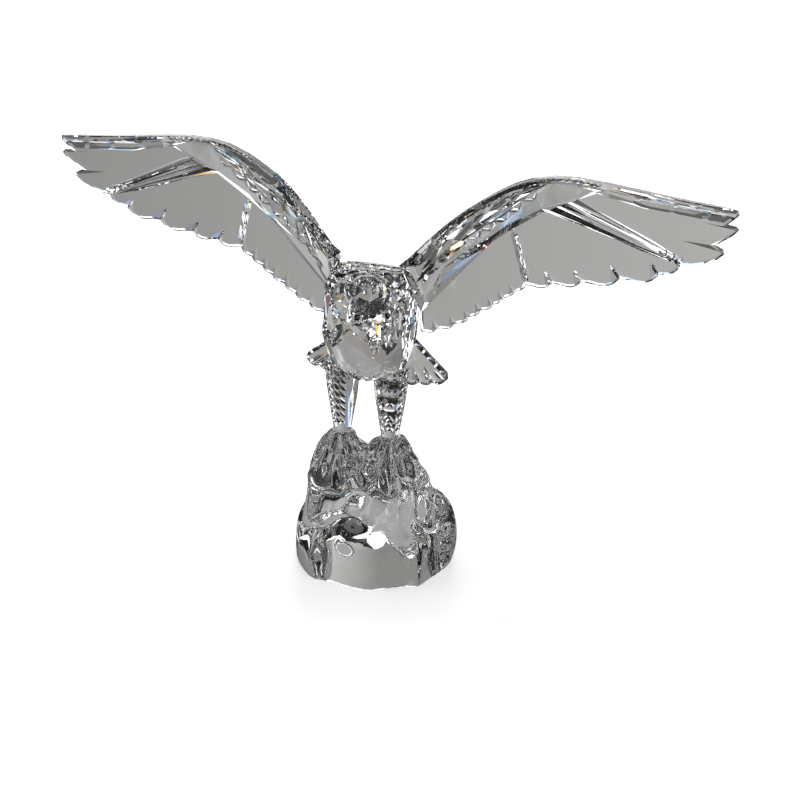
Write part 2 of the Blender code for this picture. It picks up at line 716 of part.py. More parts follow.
def rounded(corners, steps):
    """A closed smooth curve through these points, as shorter straight lines."""
    points = [Vector(p) for p in corners]
    curve = []
    for i, here in enumerate(points):
        before, after, beyond = points[i - 1], points[(i + 1) % len(points)], points[(i + 2) % len(points)]
        for k in range(steps):
            t = k / steps
            bend = (after - before) * t + (2 * before - 5 * here + 4 * after - beyond) * t**2
            curve.append(here + (bend + (3 * here - before - 3 * after + beyond) * t**3) / 2)
    return curve


def slab(bm):
    """The wavy slab the rock stands on."""
    levels = []
    outline = rounded(OUTLINE, 3)
    for height, share in SLAB_LEVELS:
        levels.append(
            [
                bm.verts.new((x * share * ROCK_WIDTH / 2, y * share * ROCK_DEPTH / 2, height * SLAB_HEIGHT))
                for x, y in outline
            ]
        )
    for low, high in zip(levels, levels[1:]):
        for i in range(len(low)):
            bm.faces.new((low[i - 1], low[i], high[i], high[i - 1]))
    bm.faces.new(levels[0][::-1])
    bm.faces.new(levels[-1])


def feet(bm):
    """Both feet, their toes spread over the rock."""
    for side in (1, -1):
        ankle = Vector((ANKLE.x * side * UNIT, ANKLE.y * UNIT, ROCK_HEIGHT))
        lump(bm, [(ankle + Vector((0, 0, 0.002)), FOOT_TOP * UNIT), (ankle - Vector((0, 0, 0.008)), 6.0 * UNIT)])
        for turn, length in TOES:
            angle = math.radians(turn * side) - math.pi / 2
            out = Vector((math.cos(angle), math.sin(angle), 0)) * length * UNIT
            drop = Vector((0, 0, -1)) * length * UNIT
            joints = [(0.1, 0.05, 2.7), (0.5, 0.36, 2.5), (0.86, 0.86, 2.1), (0.98, 1.42, 1.2)]
            spots = [(ankle + out * a + drop * b, r * UNIT) for a, b, r in joints]
            for pair in zip(spots, spots[1:]):
                lump(bm, pair)


def rock(finish):
    bm = bmesh.new()
    slab(bm)
    for start, end in LUMPS:
        lump(bm, [(rock_point(*p[:3]), p[3] * ROCK_WIDTH / 2) for p in (start, end)])
    feet(bm)
    rough = add_object("rock", bm, finish)
    remesh = rough.modifiers.new("cast", "REMESH")
    remesh.mode = "VOXEL"
    remesh.voxel_size = ROCK_GRAIN
    smooth = rough.modifiers.new("melt", "SMOOTH")
    smooth.factor = 0.5
    smooth.iterations = 3
    thin = rough.modifiers.new("facets", "DECIMATE")
    thin.ratio = 0.2
    evaluated = rough.evaluated_get(bpy.context.evaluated_depsgraph_get())
    cast = bmesh.new()
    cast.from_mesh(evaluated.to_mesh())
    bpy.data.objects.remove(rough)
    for level, way in ((0.0, -1), (ROCK_HEIGHT, 1)):
        geometry = [*cast.verts, *cast.edges, *cast.faces]
        cut = bmesh.ops.bisect_plane(
            cast, geom=geometry, dist=1e-6, plane_co=(0, 0, level), plane_no=(0, 0, way), clear_outer=True
        )
        edges = [g for g in cut["geom_cut"] if isinstance(g, bmesh.types.BMEdge)]
        bmesh.ops.holes_fill(cast, edges=edges, sides=0)
    bmesh.ops.triangulate(cast, faces=cast.faces)
    return add_object("rock", cast, finish)


def main():
    for old in list(bpy.data.objects):
        bpy.data.objects.remove(old)
    crystal = material("cut_crystal", (0.93, 0.95, 0.95), 0.0, 1.56, 1.0)
    jet = material("jet", (0.008, 0.008, 0.01), 0.05, 1.5)
    rock(crystal)
    leg("leg_left", 1, crystal)
    leg("leg_right", -1, crystal)
    tail(crystal)
    body(crystal)
    wing("wing_left", 1, crystal)
    wing("wing_right", -1, crystal)
    head_piece = head(crystal)
    eye("eye_left", 1, head_piece, jet, crystal)
    eye("eye_right", -1, head_piece, jet, crystal)


main()
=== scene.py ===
import math

import bmesh
import bpy
from mathutils import Matrix, Vector, noise
from mathutils.bvhtree import BVHTree


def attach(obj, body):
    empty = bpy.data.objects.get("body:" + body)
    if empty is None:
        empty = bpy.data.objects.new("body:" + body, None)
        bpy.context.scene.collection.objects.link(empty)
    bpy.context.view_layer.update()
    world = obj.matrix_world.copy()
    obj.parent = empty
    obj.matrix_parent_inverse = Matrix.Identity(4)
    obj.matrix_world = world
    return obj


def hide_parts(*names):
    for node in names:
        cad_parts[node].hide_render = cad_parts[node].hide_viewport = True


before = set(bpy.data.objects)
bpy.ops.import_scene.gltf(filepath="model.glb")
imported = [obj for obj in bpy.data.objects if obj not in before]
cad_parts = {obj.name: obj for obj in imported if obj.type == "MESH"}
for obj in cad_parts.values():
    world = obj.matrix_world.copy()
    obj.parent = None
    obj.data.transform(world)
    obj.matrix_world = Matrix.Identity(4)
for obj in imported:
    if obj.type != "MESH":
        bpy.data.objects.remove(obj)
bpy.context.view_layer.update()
MM = 0.001


# The rock
#
# One lump of lead crystal, cast in a mould and fire polished: smooth and wavy round its foot, craggy above,
# with the eagle's fluted feet cast on its two peaks. The legs are glued to the ankles.

# Sizes are in millimetres
ROCK_GRAIN = 0.55
SLAB_TOP = 23.0
ANKLE_LEVEL = 51.0
SHARP_TOP = 5.0
MELT = 0.65
MELT_ROUNDS = {"upper": 70, "slab": 120}
CRAG_SIZE = 12.0
CRAG_DEPTH = 1.2
WAVE_SIZE = 15.0
WAVE_DEPTH = 0.9
FLUTES = 11
FLUTE_DEPTH = 0.7
FOOT_REACH = 11.0
ANKLES = [(9.2, -5.2), (-9.2, -5.2)]
FOOT_LEVELS = (36.0, 44.0)
STAND_LEVEL = 0.35
CRYSTAL_TINT = "#FBFCFC"
CRYSTAL_IOR = 1.56


def linear(code):
    """An sRGB hex colour as linear RGBA."""
    parts = [int(code[i : i + 2], 16) / 255 for i in (1, 3, 5)]
    return (*(c / 12.92 if c <= 0.04045 else ((c + 0.055) / 1.055) ** 2.4 for c in parts), 1.0)


def add_node(tree, kind, inputs=None, **settings):
    """Adds a node to a tree. inputs are values or sockets to link from, by the input's name or number."""
    made = tree.nodes.new(kind)
    for name, value in settings.items():
        setattr(made, name, value)
    for name, value in (inputs or {}).items():
        if isinstance(value, bpy.types.NodeSocket):
            tree.links.new(value, made.inputs[name])
        else:
            made.inputs[name].default_value = value
    return made


def smoothstep(low, high, value):
    share = min(1.0, max(0.0, (value - low) / (high - low)))
    return share * share * (3 - 2 * share)


def cad_copy(name):
    """The solid of that name as one closed bmesh, its loose triangles merged."""
    bm = bmesh.new()
    bm.from_mesh(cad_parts[name].data)
    bmesh.ops.remove_doubles(bm, verts=bm.verts, dist=1e-6)
    return bm


def add_piece(name, bm, material):
    mesh = bpy.data.meshes.new(name)
    bm.to_mesh(mesh)
    bm.free()
    mesh.materials.append(material)
    piece = bpy.data.objects.new(name, mesh)
    bpy.context.scene.collection.objects.link(piece)
    return piece


def crystal(name, wave_size, wave_height):
    """Clear lead crystal. Fire polish leaves long soft waves in it, which bend what shows through."""
    made = bpy.data.materials.new(name)
    made.use_nodes = True
    tree = made.node_tree
    shader = tree.nodes["Principled BSDF"]
    shader.inputs["Base Color"].default_value = linear(CRYSTAL_TINT)
    shader.inputs["Roughness"].default_value = 0.0
    shader.inputs["IOR"].default_value = CRYSTAL_IOR
    shader.inputs["Transmission Weight"].default_value = 1.0
    place = add_node(tree, "ShaderNodeTexCoord").outputs["Object"]
    settings = {"Vector": place, "Scale": 1 / (wave_size * MM), "Detail": 2.0}
    waves = add_node(tree, "ShaderNodeTexNoise", settings).outputs["Fac"]
    bump = add_node(tree, "ShaderNodeBump", {"Height": waves, "Distance": wave_height * MM})
    tree.links.new(bump.outputs["Normal"], shader.inputs["Normal"])
    return made


def settle(piece):
    """Replaces a piece's mesh by the one its modifiers make, and takes the modifiers off."""
    evaluated = piece.evaluated_get(bpy.context.evaluated_depsgraph_get())
    mesh = bpy.data.meshes.new_from_object(evaluated)
    for modifier in list(piece.modifiers):
        piece.modifiers.remove(modifier)
    old = piece.data
    piece.data = mesh
    bpy.data.meshes.remove(old)


cast_crystal = crystal("fire polished cast crystal", 7.0, 0.03)
rock = add_piece("rock_cast", cad_copy("rock"), cast_crystal)
remesh = rock.modifiers.new("fine grain", "REMESH")
remesh.voxel_size = ROCK_GRAIN * MM
remesh.use_smooth_shade = True
settle(rock)
upper = rock.vertex_groups.new(name="upper")
slab = rock.vertex_groups.new(name="slab")
for vertex in rock.data.vertices:
    height = vertex.co.z / MM
    above_foot = smoothstep(0.8, 4.0, height)
    below_ankle = 0.2 + 0.8 * smoothstep(ANKLE_LEVEL, ANKLE_LEVEL - SHARP_TOP, height)
    upper.add([vertex.index], above_foot * below_ankle, "REPLACE")
    in_slab = smoothstep(SLAB_TOP + 2, SLAB_TOP - 5, height)
    slab.add([vertex.index], above_foot * in_slab, "REPLACE")
for group, rounds in MELT_ROUNDS.items():
    melt = rock.modifiers.new(group + " fire polish", "SMOOTH")
    melt.factor = MELT
    melt.iterations = rounds
    melt.vertex_group = group
settle(rock)

normals = [vertex.normal.copy() for vertex in rock.data.vertices]
for vertex, normal in zip(rock.data.vertices, normals):
    place = vertex.co / MM
    high = smoothstep(SLAB_TOP - 6, SLAB_TOP + 4, place.z)
    foot = min(math.hypot(place.x - x, place.y - y) for x, y in ANKLES)
    ankle = min(ANKLES, key=lambda spot: math.hypot(place.x - spot[0], place.y - spot[1]))
    near = (1 - smoothstep(FOOT_REACH * 0.55, FOOT_REACH, foot)) * smoothstep(*FOOT_LEVELS, place.z)
    crag = 1.0 - 2.2 * abs(noise.noise(place / CRAG_SIZE)) ** 0.8
    wave = noise.noise(place / WAVE_SIZE)
    turn = math.atan2(place.y - ankle[1], place.x - ankle[0])
    flute = math.cos(FLUTES * turn)
    move = high * (1 - near) * CRAG_DEPTH * crag + (1 - high) * WAVE_DEPTH * wave
    move += near * FLUTE_DEPTH * flute
    move *= smoothstep(0.0, 3.0, place.z) * smoothstep(52.0, 49.5, place.z)
    vertex.co += normal * move * MM
    vertex.co.z = max(0.0, vertex.co.z)
    if place.z < STAND_LEVEL:
        vertex.co.z = 0.0

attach(rock, "root")
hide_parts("rock")


# The legs
#
# Two cut crystal legs, ground from rod. A wheel with a V edge cuts rows of slanting feathers down the front
# and the outer side, and leaves the inner side plain. Their ends are polished flat and glued.

LEG_AXIS = (9.25, -4.8)
# How far off a look at a piece's surface starts
LOOK = 20
# A cut's size is its length, width and depth
BANDS = [(62.2, (5.0, 3.0, 1.5)), (67.4, (5.0, 3.6, 1.8)), (73.4, (5.0, 4.4, 2.2))]
SPECK_LEVELS = [55.5, 57.3, 59.0, 60.4, 65.2, 70.8, 77.4]
SPECK_LEAN = 1.2
SPECK = (2.6, 1.2, 0.75)
FEATHER_ROWS = 9
FEATHER_LOW = 56.0
FEATHER_STEP = 2.7
FEATHER_LEAN = -0.9
FEATHER = (5.2, 1.8, 1.1)
# The turns round the leg, in degrees with -90 straight ahead, of its cuts
BAND_TURNS = (-114, -92, -70, -48)
SPECK_TURNS = (-140, -120, -100, -80, -60)
FEATHER_TURNS = {1: (-22, 6), -1: (-112, -88, -60, -34)}


def wheel_shape():
    """What a V-edged wheel takes out in one cut: a boat of unit length, width and depth."""
    bm = bmesh.new()
    bow = bm.verts.new((0.5, 0, 0))
    stern = bm.verts.new((-0.5, 0, 0))
    frames = []
    for x in (0.24, -0.24):
        frames.append([bm.verts.new(p) for p in ((x, 0.5, 0), (x, 0, 1), (x, -0.5, 0), (x, 0, -1))])
    for i in range(4):
        j = (i + 1) % 4
        bm.faces.new((bow, frames[0][i], frames[0][j]))
        bm.faces.new((frames[0][i], frames[1][i], frames[1][j], frames[0][j]))
        bm.faces.new((frames[1][i], stern, frames[1][j]))
    bmesh.ops.recalc_face_normals(bm, faces=bm.faces)
    mesh = bpy.data.meshes.new("wheel")
    bm.to_mesh(mesh)
    bm.free()
    wheel = bpy.data.objects.new("wheel", mesh)
    bpy.context.scene.collection.objects.link(wheel)
    return wheel


def cutting_tree():
    """Geometry Nodes that cut the wheel's shape out of a piece at every point of a list of cuts."""
    tree = bpy.data.node_groups.new("wheel cuts", "GeometryNodeTree")
    sockets = (("Geometry", "Geometry"), ("Cuts", "Object"), ("Wheel", "Object"), ("Crystal", "Material"))
    for name, kind in sockets:
        tree.interface.new_socket(name, in_out="INPUT", socket_type="NodeSocket" + kind)
    tree.interface.new_socket("Geometry", in_out="OUTPUT", socket_type="NodeSocketGeometry")
    given = add_node(tree, "NodeGroupInput")
    cuts = add_node(tree, "GeometryNodeObjectInfo", {"Object": given.outputs["Cuts"]})
    shape = add_node(tree, "GeometryNodeObjectInfo", {"Object": given.outputs["Wheel"]})
    turn = add_node(tree, "GeometryNodeInputNamedAttribute", {"Name": "turn"}, data_type="FLOAT_VECTOR")
    size = add_node(tree, "GeometryNodeInputNamedAttribute", {"Name": "size"}, data_type="FLOAT_VECTOR")
    settings = {
        "Points": cuts.outputs["Geometry"],
        "Instance": shape.outputs["Geometry"],
        "Rotation": turn.outputs["Attribute"],
        "Scale": size.outputs["Attribute"],
    }
    placed = add_node(tree, "GeometryNodeInstanceOnPoints", settings)
    ground = add_node(tree, "GeometryNodeMeshBoolean", operation="DIFFERENCE", solver="MANIFOLD")
    tree.links.new(given.outputs["Geometry"], ground.inputs["Mesh 1"])
    tree.links.new(placed.outputs["Instances"], ground.inputs["Mesh 2"])
    plain = add_node(tree, "GeometryNodeRealizeInstances", {"Geometry": ground.outputs["Mesh"]})
    settings = {"Geometry": plain.outputs["Geometry"], "Material": given.outputs["Crystal"]}
    finish = add_node(tree, "GeometryNodeSetMaterial", settings)
    out = add_node(tree, "NodeGroupOutput")
    tree.links.new(finish.outputs["Geometry"], out.inputs["Geometry"])
    return tree


wheel = wheel_shape()
wheel_cuts = cutting_tree()


class Cuts:
    """The cuts to make in one piece: each found by a straight look at the piece's surface."""

    def __init__(self, bm):
        self.surface = BVHTree.FromBMesh(bm)
        self.made = []

    def cut(self, start, way, along, length, width, depth):
        """One cut where a look from start towards way meets the surface. Sizes are in millimetres."""
        spot, normal, _, _ = self.surface.ray_cast(Vector(start) * MM, Vector(way))
        if spot is None:
            return
        along = Vector(along) - Vector(along).dot(normal) * normal
        if along.length < 1e-6:
            return
        along.normalize()
        turn = Matrix((along, normal.cross(along), normal)).transposed().to_euler()
        self.made.append((spot, turn, Vector((length, width, depth)) * MM))

    def apply(self, piece, material):
        """Cuts the piece, with Geometry Nodes, and leaves a plain mesh."""
        mesh = bpy.data.meshes.new("cuts")
        mesh.from_pydata([spot for spot, _, _ in self.made], [], [])
        turns = mesh.attributes.new("turn", "FLOAT_VECTOR", "POINT")
        sizes = mesh.attributes.new("size", "FLOAT_VECTOR", "POINT")
        for i, (_, turn, size) in enumerate(self.made):
            turns.data[i].vector = turn
            sizes.data[i].vector = size
        points = bpy.data.objects.new("cuts", mesh)
        bpy.context.scene.collection.objects.link(points)
        modifier = piece.modifiers.new("wheel cuts", "NODES")
        modifier.node_group = wheel_cuts
        for item in wheel_cuts.interface.items_tree:
            value = {"Cuts": points, "Wheel": wheel, "Crystal": material}.get(item.name)
            if value:
                modifier[item.identifier] = value
        settle(piece)
        bpy.data.objects.remove(points)


def leg_cut(cuts, side, level, turn, round_way, lean, size):
    """One cut in a leg. It runs round the leg one way or the other, and climbs by lean as it goes."""
    angle = math.radians(turn)
    way = Vector((math.cos(angle) * side, math.sin(angle), 0))
    start = Vector((LEG_AXIS[0] * side, LEG_AXIS[1], level)) + way * LOOK
    cuts.cut(start, -way, (-way.y * round_way, way.x * round_way, lean), *size)


cut_crystal = crystal("wheel cut polished crystal", 9.0, 0.006)

for side, name in ((1, "left"), (-1, "right")):
    bm = cad_copy("leg_" + name)
    cuts = Cuts(bm)
    # The bands and specks are on the left leg alone
    for level, size in BANDS if side > 0 else []:
        for turn in BAND_TURNS:
            leg_cut(cuts, side, level, turn, 1, 0.06, size)
    for row, level in enumerate(SPECK_LEVELS if side > 0 else []):
        for k, turn in enumerate(SPECK_TURNS):
            lean = SPECK_LEAN if (row + k) % 2 else -SPECK_LEAN
            leg_cut(cuts, side, level, turn + 10 * (row % 2), 1, lean, SPECK)
    for row in range(FEATHER_ROWS):
        level = FEATHER_LOW + FEATHER_STEP * row
        share = 0.7 + 0.3 * row / (FEATHER_ROWS - 1)
        for turn in FEATHER_TURNS[side]:
            leg_cut(cuts, side, level, turn, -side, FEATHER_LEAN, [part * share for part in FEATHER])
    leg = add_piece("leg_cut_" + name, bm, cut_crystal)
    cuts.apply(leg, cut_crystal)
    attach(leg, "root")
    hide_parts("leg_" + name)


# The tail
#
# One flat plate of cut crystal. Long V cuts run from the root to the tips and part the feathers, and the
# edge is bevelled all round. It is glued to the flat at the back of the body.

TAIL_CUSPS = [(0.0, 69.0), (5.6, 69.3), (11.2, 69.7), (16.6, 70.3), (21.8, 71.0), (26.2, 71.8)]
TAIL_ROOT = Vector((0.0, 93.0))
TAIL_NICKS = 8
TAIL_NICK = (3.0, 1.3, 0.8)
TAIL_FRONT = -30

bm = cad_copy("tail")
cuts = Cuts(bm)
for side in (1, -1):
    for x, z in TAIL_CUSPS:
        tip = Vector((x * side, z))
        low, high = tip.lerp(TAIL_ROOT, -0.04), tip.lerp(TAIL_ROOT, 0.2)
        middle, along = (low + high) / 2, high - low
        start = (middle.x + 0.8, TAIL_FRONT, middle.y)
        cuts.cut(start, (0, 1, 0), (along.x, 0, along.y), along.length, 1.2, 0.7)
    for k in range(TAIL_NICKS):
        x, z = 25.6 - 2.6 * k, 75.4 + 1.95 * k
        slant = 1 if k % 2 else 0.2
        cuts.cut((x * side, TAIL_FRONT, z), (0, 1, 0), (0.6 * side, 0, slant), *TAIL_NICK)
tail = add_piece("tail_cut", bm, cut_crystal)
cuts.apply(tail, cut_crystal)
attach(tail, "root")
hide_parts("tail")


# The body
#
# A solid block of crystal ground flat facet by facet: broad panes on the breast and the flanks, and a field
# of small diamond cuts over each shoulder.

# Looks start this far in front of the eagle or behind it
FRONT = -40
BACK = 40
DIAMOND = (3.6, 1.9, 1.15)
BACK_DIAMOND = (3.8, 1.9, 1.1)
DIAMOND_STEP = (1.9, 2.5)
BREAST_SPOTS = [(7.6, 90.6, -0.55), (11.2, 90.0, 0.2)]
BREAST_CUT = (12.0, 3.8, 2.3)
CROSS_STEP = (3.0, 3.2)
CROSS = (4.4, 1.6, 1.0)
FLANK_SPOTS = [(13.2, 91.5), (16.0, 96.0)]
FLANK_CUT = (12.0, 3.6, 2.2)
FLANK_WAY = (0.74, -0.66)
SIDE_COUNT = 8
SIDE_STEP = 3.0
SIDE_CUT = (4.6, 1.7, 1.0)
SIDE_CUT_BEHIND = (3.6, 1.5, 0.9)

bm = cad_copy("body")
cuts = Cuts(bm)
for side in (1, -1):
    for row in range(5):
        for k in range(5):
            x = (7.2 + DIAMOND_STEP[0] * k + 0.9 * (row % 2)) * side
            z = 113.4 - DIAMOND_STEP[1] * row
            slant = 1.0 if (row + k) % 2 else -1.0
            cuts.cut((x, FRONT, z), (0, 1, 0), (slant, 0, 1), *DIAMOND)
            cuts.cut((x, BACK, z), (0, -1, 0), (slant, 0, 1), *BACK_DIAMOND)
    for x, z, slant in BREAST_SPOTS:
        cuts.cut((x * side, FRONT, z), (0, 1, 0), (slant * side, 0, 1), *BREAST_CUT)
    for row in range(3):
        for k in range(4):
            x = (1.4 + CROSS_STEP[0] * k) * side
            y = -3.4 + CROSS_STEP[1] * row
            cuts.cut((x, y, 140), (0, 0, -1), (1, 0.6 * (-1) ** (row + k), 0), *CROSS)
    for x, z in FLANK_SPOTS:
        way = Vector((FLANK_WAY[0] * side, FLANK_WAY[1], 0))
        start = Vector((x * side, -9.8, z)) + way * LOOK
        cuts.cut(start, -way, (0, 0.1, 1), *FLANK_CUT)
    for k in range(SIDE_COUNT):
        z = 102.5 - SIDE_STEP * k
        cuts.cut((BACK * side, -6.5 + 0.3 * k, z), (-side, 0, 0), (0, 0.6, 1), *SIDE_CUT)
        cuts.cut((BACK * side, -2.8, z + 1.2), (-side, 0, 0), (0, -0.5, 1), *SIDE_CUT_BEHIND)
body = add_piece("body_cut", bm, cut_crystal)
cuts.apply(body, cut_crystal)
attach(body, "root")
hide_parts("body")


# The wings
#
# Two plates of cut crystal, as a pair. Long feather cuts cover the thick arm, a fan of long strips crosses
# the hand, and short cuts part the tips of the flight feathers. The rest is left as flat polished panes.

ARM_LOW = [(19.0, 108.4), (24.4, 114.8), (34.2, 123.4), (45.0, 131.9), (53.0, 138.6), (59.5, 144.2)]
ARM_HIGH = [(18.0, 118.4), (25.4, 126.6), (33.0, 133.2), (43.4, 140.2), (51.0, 144.6), (60.0, 147.9)]
LEADING_EDGE = [(17.5, 120.4), (25.3, 128.4), (38.0, 138.4), (50.0, 145.8), (63.5, 149.7), (80, 149.4)]
EDGE_NICKS = 30
EDGE_NICK = (4.4, 1.3, 0.8)
# The long strips of the hand: where across and up the middle of each is, and its length
HAND_STRIPS = [(87.0, 145.7, 17.0), (98.5, 144.0, 19.0), (110.0, 143.0, 17.0), (119.0, 142.3, 10.0)]
HAND_LINES = (84.0, 92.0, 101.0, 108.0, 115.0)
CLUSTER_CUT = (3.0, 1.3, 0.8)
# The notches between the tips of the feathers: where across and up, and the length of the cut
TIP_NOTCHES = [(63.6, 112.2, 5.0), (74.0, 114.0, 5.0), (87.2, 116.9, 7.0), (100.4, 119.9, 5.0)]
JOINT = [Vector((49.6, 130.1)), Vector((54.4, 111.4))]
JOINT_CUTS = 7
JOINT_CUT = (3.4, 1.5, 0.8)
# Rows of cuts along the arm: height across it, cuts, length, width and depth, and how they slant to it
ARM_ROWS = [
    (0.06, 17, 4.2, 1.7, 1.0, 0.7),
    (0.25, 5, 18.0, 2.5, 1.35, 0.0),
    (0.48, 4, 23.0, 2.6, 1.45, 0.0),
    (0.70, 5, 18.0, 2.4, 1.3, 0.0),
    (0.90, 16, 6.0, 1.4, 0.9, 0.12),
]


def along_path(points, share):
    """The point at that share of a polyline's length."""
    points = [Vector(p) for p in points]
    lengths = [(b - a).length for a, b in zip(points, points[1:])]
    left = share * sum(lengths)
    for a, b, length in zip(points, points[1:], lengths):
        if left <= length:
            return a.lerp(b, left / length)
        left -= length
    return points[-1]


def arm_cuts(cuts):
    """Rows of cuts along the thick arm: small slanting ones at its edges, long bold ones between them."""
    for height, count, length, width, depth, slant in ARM_ROWS:
        for k in range(count):
            share = (k + 0.5) / count
            here = along_path(ARM_LOW, share).lerp(along_path(ARM_HIGH, share), height)
            step = 0.02 if share < 0.97 else -0.02
            ahead = along_path(ARM_LOW, share + step).lerp(along_path(ARM_HIGH, share + step), height)
            along = (ahead - here) * (1 if step > 0 else -1)
            along = along.normalized() + Vector((-along.y, along.x)).normalized() * slant * (-1) ** k
            narrow = 1.0 - 0.35 * share
            if length > 10:
                narrow *= 0.9 + 0.2 * ((k * 7) % 3) / 2
            along = (along.x, 0, along.y)
            cuts.cut((here.x, FRONT, here.y), (0, 1, 0), along, length, width * narrow, depth * narrow)
            if height > 0.9:
                cuts.cut((here.x, BACK, here.y), (0, -1, 0), along, length, width, depth)


def edge_cuts(cuts):
    """Small slanting nicks along the leading edge."""
    for k in range(EDGE_NICKS):
        spot = along_path(LEADING_EDGE, (k + 0.5) / EDGE_NICKS)
        for y in (-2.0, 2.0):
            middle = 6.6 - 8.0 * min(1.0, max(0.0, (38.0 - spot.x) / 23.0)) + y - 0.05 * (spot.y - 125)
            slant = 0.5 if y < 0 else -0.5
            cuts.cut((spot.x, middle, spot.y + LOOK), (0, 0, -1), (0.9, slant, 0), *EDGE_NICK)


def hand_cuts(cuts):
    """Strips along the hand's leading edge, fine lines across the hand, and a cluster at their ends."""
    for x, z, length in HAND_STRIPS:
        cuts.cut((x, FRONT, z), (0, 1, 0), (1, 0, -0.1), length, 3.0, 1.75)
        cuts.cut((x + 3, BACK, z), (0, -1, 0), (1, 0, -0.1), length, 1.2, 0.7)
    for x in HAND_LINES:
        cuts.cut((x, FRONT, 147.1 - 0.085 * (x - 84.0)), (0, 1, 0), (1, 0, -0.12), 8.0, 1.0, 0.7)
    for k in range(4):
        root, tip = Vector((63.5 + 2.3 * k, 138.6 + 1.2 * k)), Vector((104.5 + 0.8 * k, 124.8 + 0.6 * k))
        middle, along = (root + tip) / 2, tip - root
        cuts.cut((middle.x, BACK, middle.y), (0, -1, 0), (along.x, 0, along.y), along.length, 1.7, 0.95)
    for k in range(6):
        x, z = 101.0 + 1.3 * k, 127.6 - 0.5 * k + 0.9 * (k % 2)
        cuts.cut((x, FRONT, z), (0, 1, 0), (0.4, 0, 1 if k % 2 else -0.7), *CLUSTER_CUT)


def tip_cuts(cuts):
    """Short cuts that part the tips of the feathers, and the facets down the joint of arm and hand."""
    for x, z, length in TIP_NOTCHES:
        for y, way in ((FRONT, 1), (BACK, -1)):
            cuts.cut((x - 1.4, y, z + 1.8), (0, way, 0), (-0.7, 0, 1), length, 1.0, 0.6)
    for k in range(JOINT_CUTS):
        spot = JOINT[0].lerp(JOINT[1], (k + 0.5) / JOINT_CUTS)
        cuts.cut((spot.x, BACK, spot.y), (0, -1, 0), (0.24 if k % 2 else -0.6, 0, 1), *JOINT_CUT)


bm = cad_copy("wing_left")
cuts = Cuts(bm)
arm_cuts(cuts)
edge_cuts(cuts)
hand_cuts(cuts)
tip_cuts(cuts)
wing_left = add_piece("wing_cut_left", bm, cut_crystal)
cuts.apply(wing_left, cut_crystal)
bm = bmesh.new()
bm.from_mesh(wing_left.data)
bmesh.ops.scale(bm, vec=(-1, 1, 1), verts=bm.verts)
bmesh.ops.reverse_faces(bm, faces=bm.faces)
wing_right = add_piece("wing_cut_right", bm, cut_crystal)
for wing, name in ((wing_left, "wing_left"), (wing_right, "wing_right")):
    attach(wing, "root")
    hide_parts(name)


# The head
#
# Ruff, skull and hooked bill in one cut piece, glued to the breast. Rows of short cuts run over the crown
# and the nape like scales, and the forehead is one flat pane.

HEAD_LEFT = Vector((0.793, 0.610, -0.027)).normalized()
HEAD_FORWARD = Vector((0.394, -0.545, -0.738)).normalized()
HEAD_UP = HEAD_FORWARD.cross(HEAD_LEFT)
SKULL = Vector((7.4, -19.1, 101.4))
NECK = Vector((3.0, -13.4, 104.6))
HEAD_LOOK = 30
CROWN_SCALE = (6.0, 2.0, 1.2)
NAPE_SCALE = (6.0, 1.6, 1.0)
RUFF_COUNT = 28
RUFF_REACH = 152
RUFF_CUT = (3.2, 1.4, 0.9)
CHEEK_CUT = (3.0, 1.3, 0.8)

bm = cad_copy("head")
cuts = Cuts(bm)
for row in range(5):
    tilt = math.radians(80 - 17 * row)
    count = 8 + 2 * row
    for k in range(count):
        turn = math.radians(-100 + 200 * (k + 0.5 * (row % 2)) / (count - 1))
        out = -HEAD_FORWARD * math.cos(turn) + HEAD_LEFT * math.sin(turn)
        way = out * math.cos(tilt) + HEAD_UP * math.sin(tilt)
        across = HEAD_UP.cross(out)
        cuts.cut(NECK + way * HEAD_LOOK, -way, across, *(CROWN_SCALE if row < 3 else NAPE_SCALE))
for k in range(RUFF_COUNT):
    turn = math.radians(-RUFF_REACH + 2 * RUFF_REACH * k / (RUFF_COUNT - 1))
    out = -HEAD_FORWARD * math.cos(turn) + HEAD_LEFT * math.sin(turn)
    way = (out - HEAD_UP * 0.06).normalized()
    slant = HEAD_UP + HEAD_UP.cross(out) * (0.6 if k % 2 else -0.6)
    cuts.cut(NECK + way * HEAD_LOOK, -way, slant, *RUFF_CUT)
for side in (1, -1):
    for row in range(3):
        for k in range(5):
            turn = math.radians(44 + 16 * k + 8 * (row % 2))
            out = HEAD_FORWARD * math.cos(turn) + HEAD_LEFT * math.sin(turn) * side
            way = (out + HEAD_UP * (0.75 - 0.45 * row)).normalized()
            slant = HEAD_UP + HEAD_UP.cross(out) * (0.7 if k % 2 else -0.7)
            cuts.cut(SKULL - HEAD_FORWARD * 1.5 + way * HEAD_LOOK, -way, slant, *CHEEK_CUT)
head = add_piece("head_cut", bm, cut_crystal)
cuts.apply(head, cut_crystal)
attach(head, "root")
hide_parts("head")
bpy.data.objects.remove(wheel)


# The eyes
#
# Two small beads of jet black crystal, glued into round sockets, with a high polish.

jet = bpy.data.materials.new("polished jet crystal")
jet.use_nodes = True
shader = jet.node_tree.nodes["Principled BSDF"]
shader.inputs["Base Color"].default_value = linear("#08080A")
shader.inputs["Roughness"].default_value = 0.04
shader.inputs["IOR"].default_value = CRYSTAL_IOR
for name in ("eye_left", "eye_right"):
    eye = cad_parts[name]
    eye.data.materials.clear()
    eye.data.materials.append(jet)


# The table
#
# A plain pale table, lit, which only the camera sees as it is. Every other ray meets painted light and
# shade
# on it instead, a glow and no lamp: grey round the rock with painted shade under it, paler behind it, then
# a dark painted ring, and past that the studio's grey sheets and black flags.

# The glow is painted shade under the rock out to the first radius, and a painted dark ring between the next
# two
# Radii in metres
PAINTED_SHADE_RADIUS = 0.02
DARK_RING_IN = 0.05
DARK_RING_OUT = 0.145
DARK_RING_EDGE = 0.01
DARK_RING_GLOW = 0.03
BEHIND = (-0.39, 0.92, 0.0)
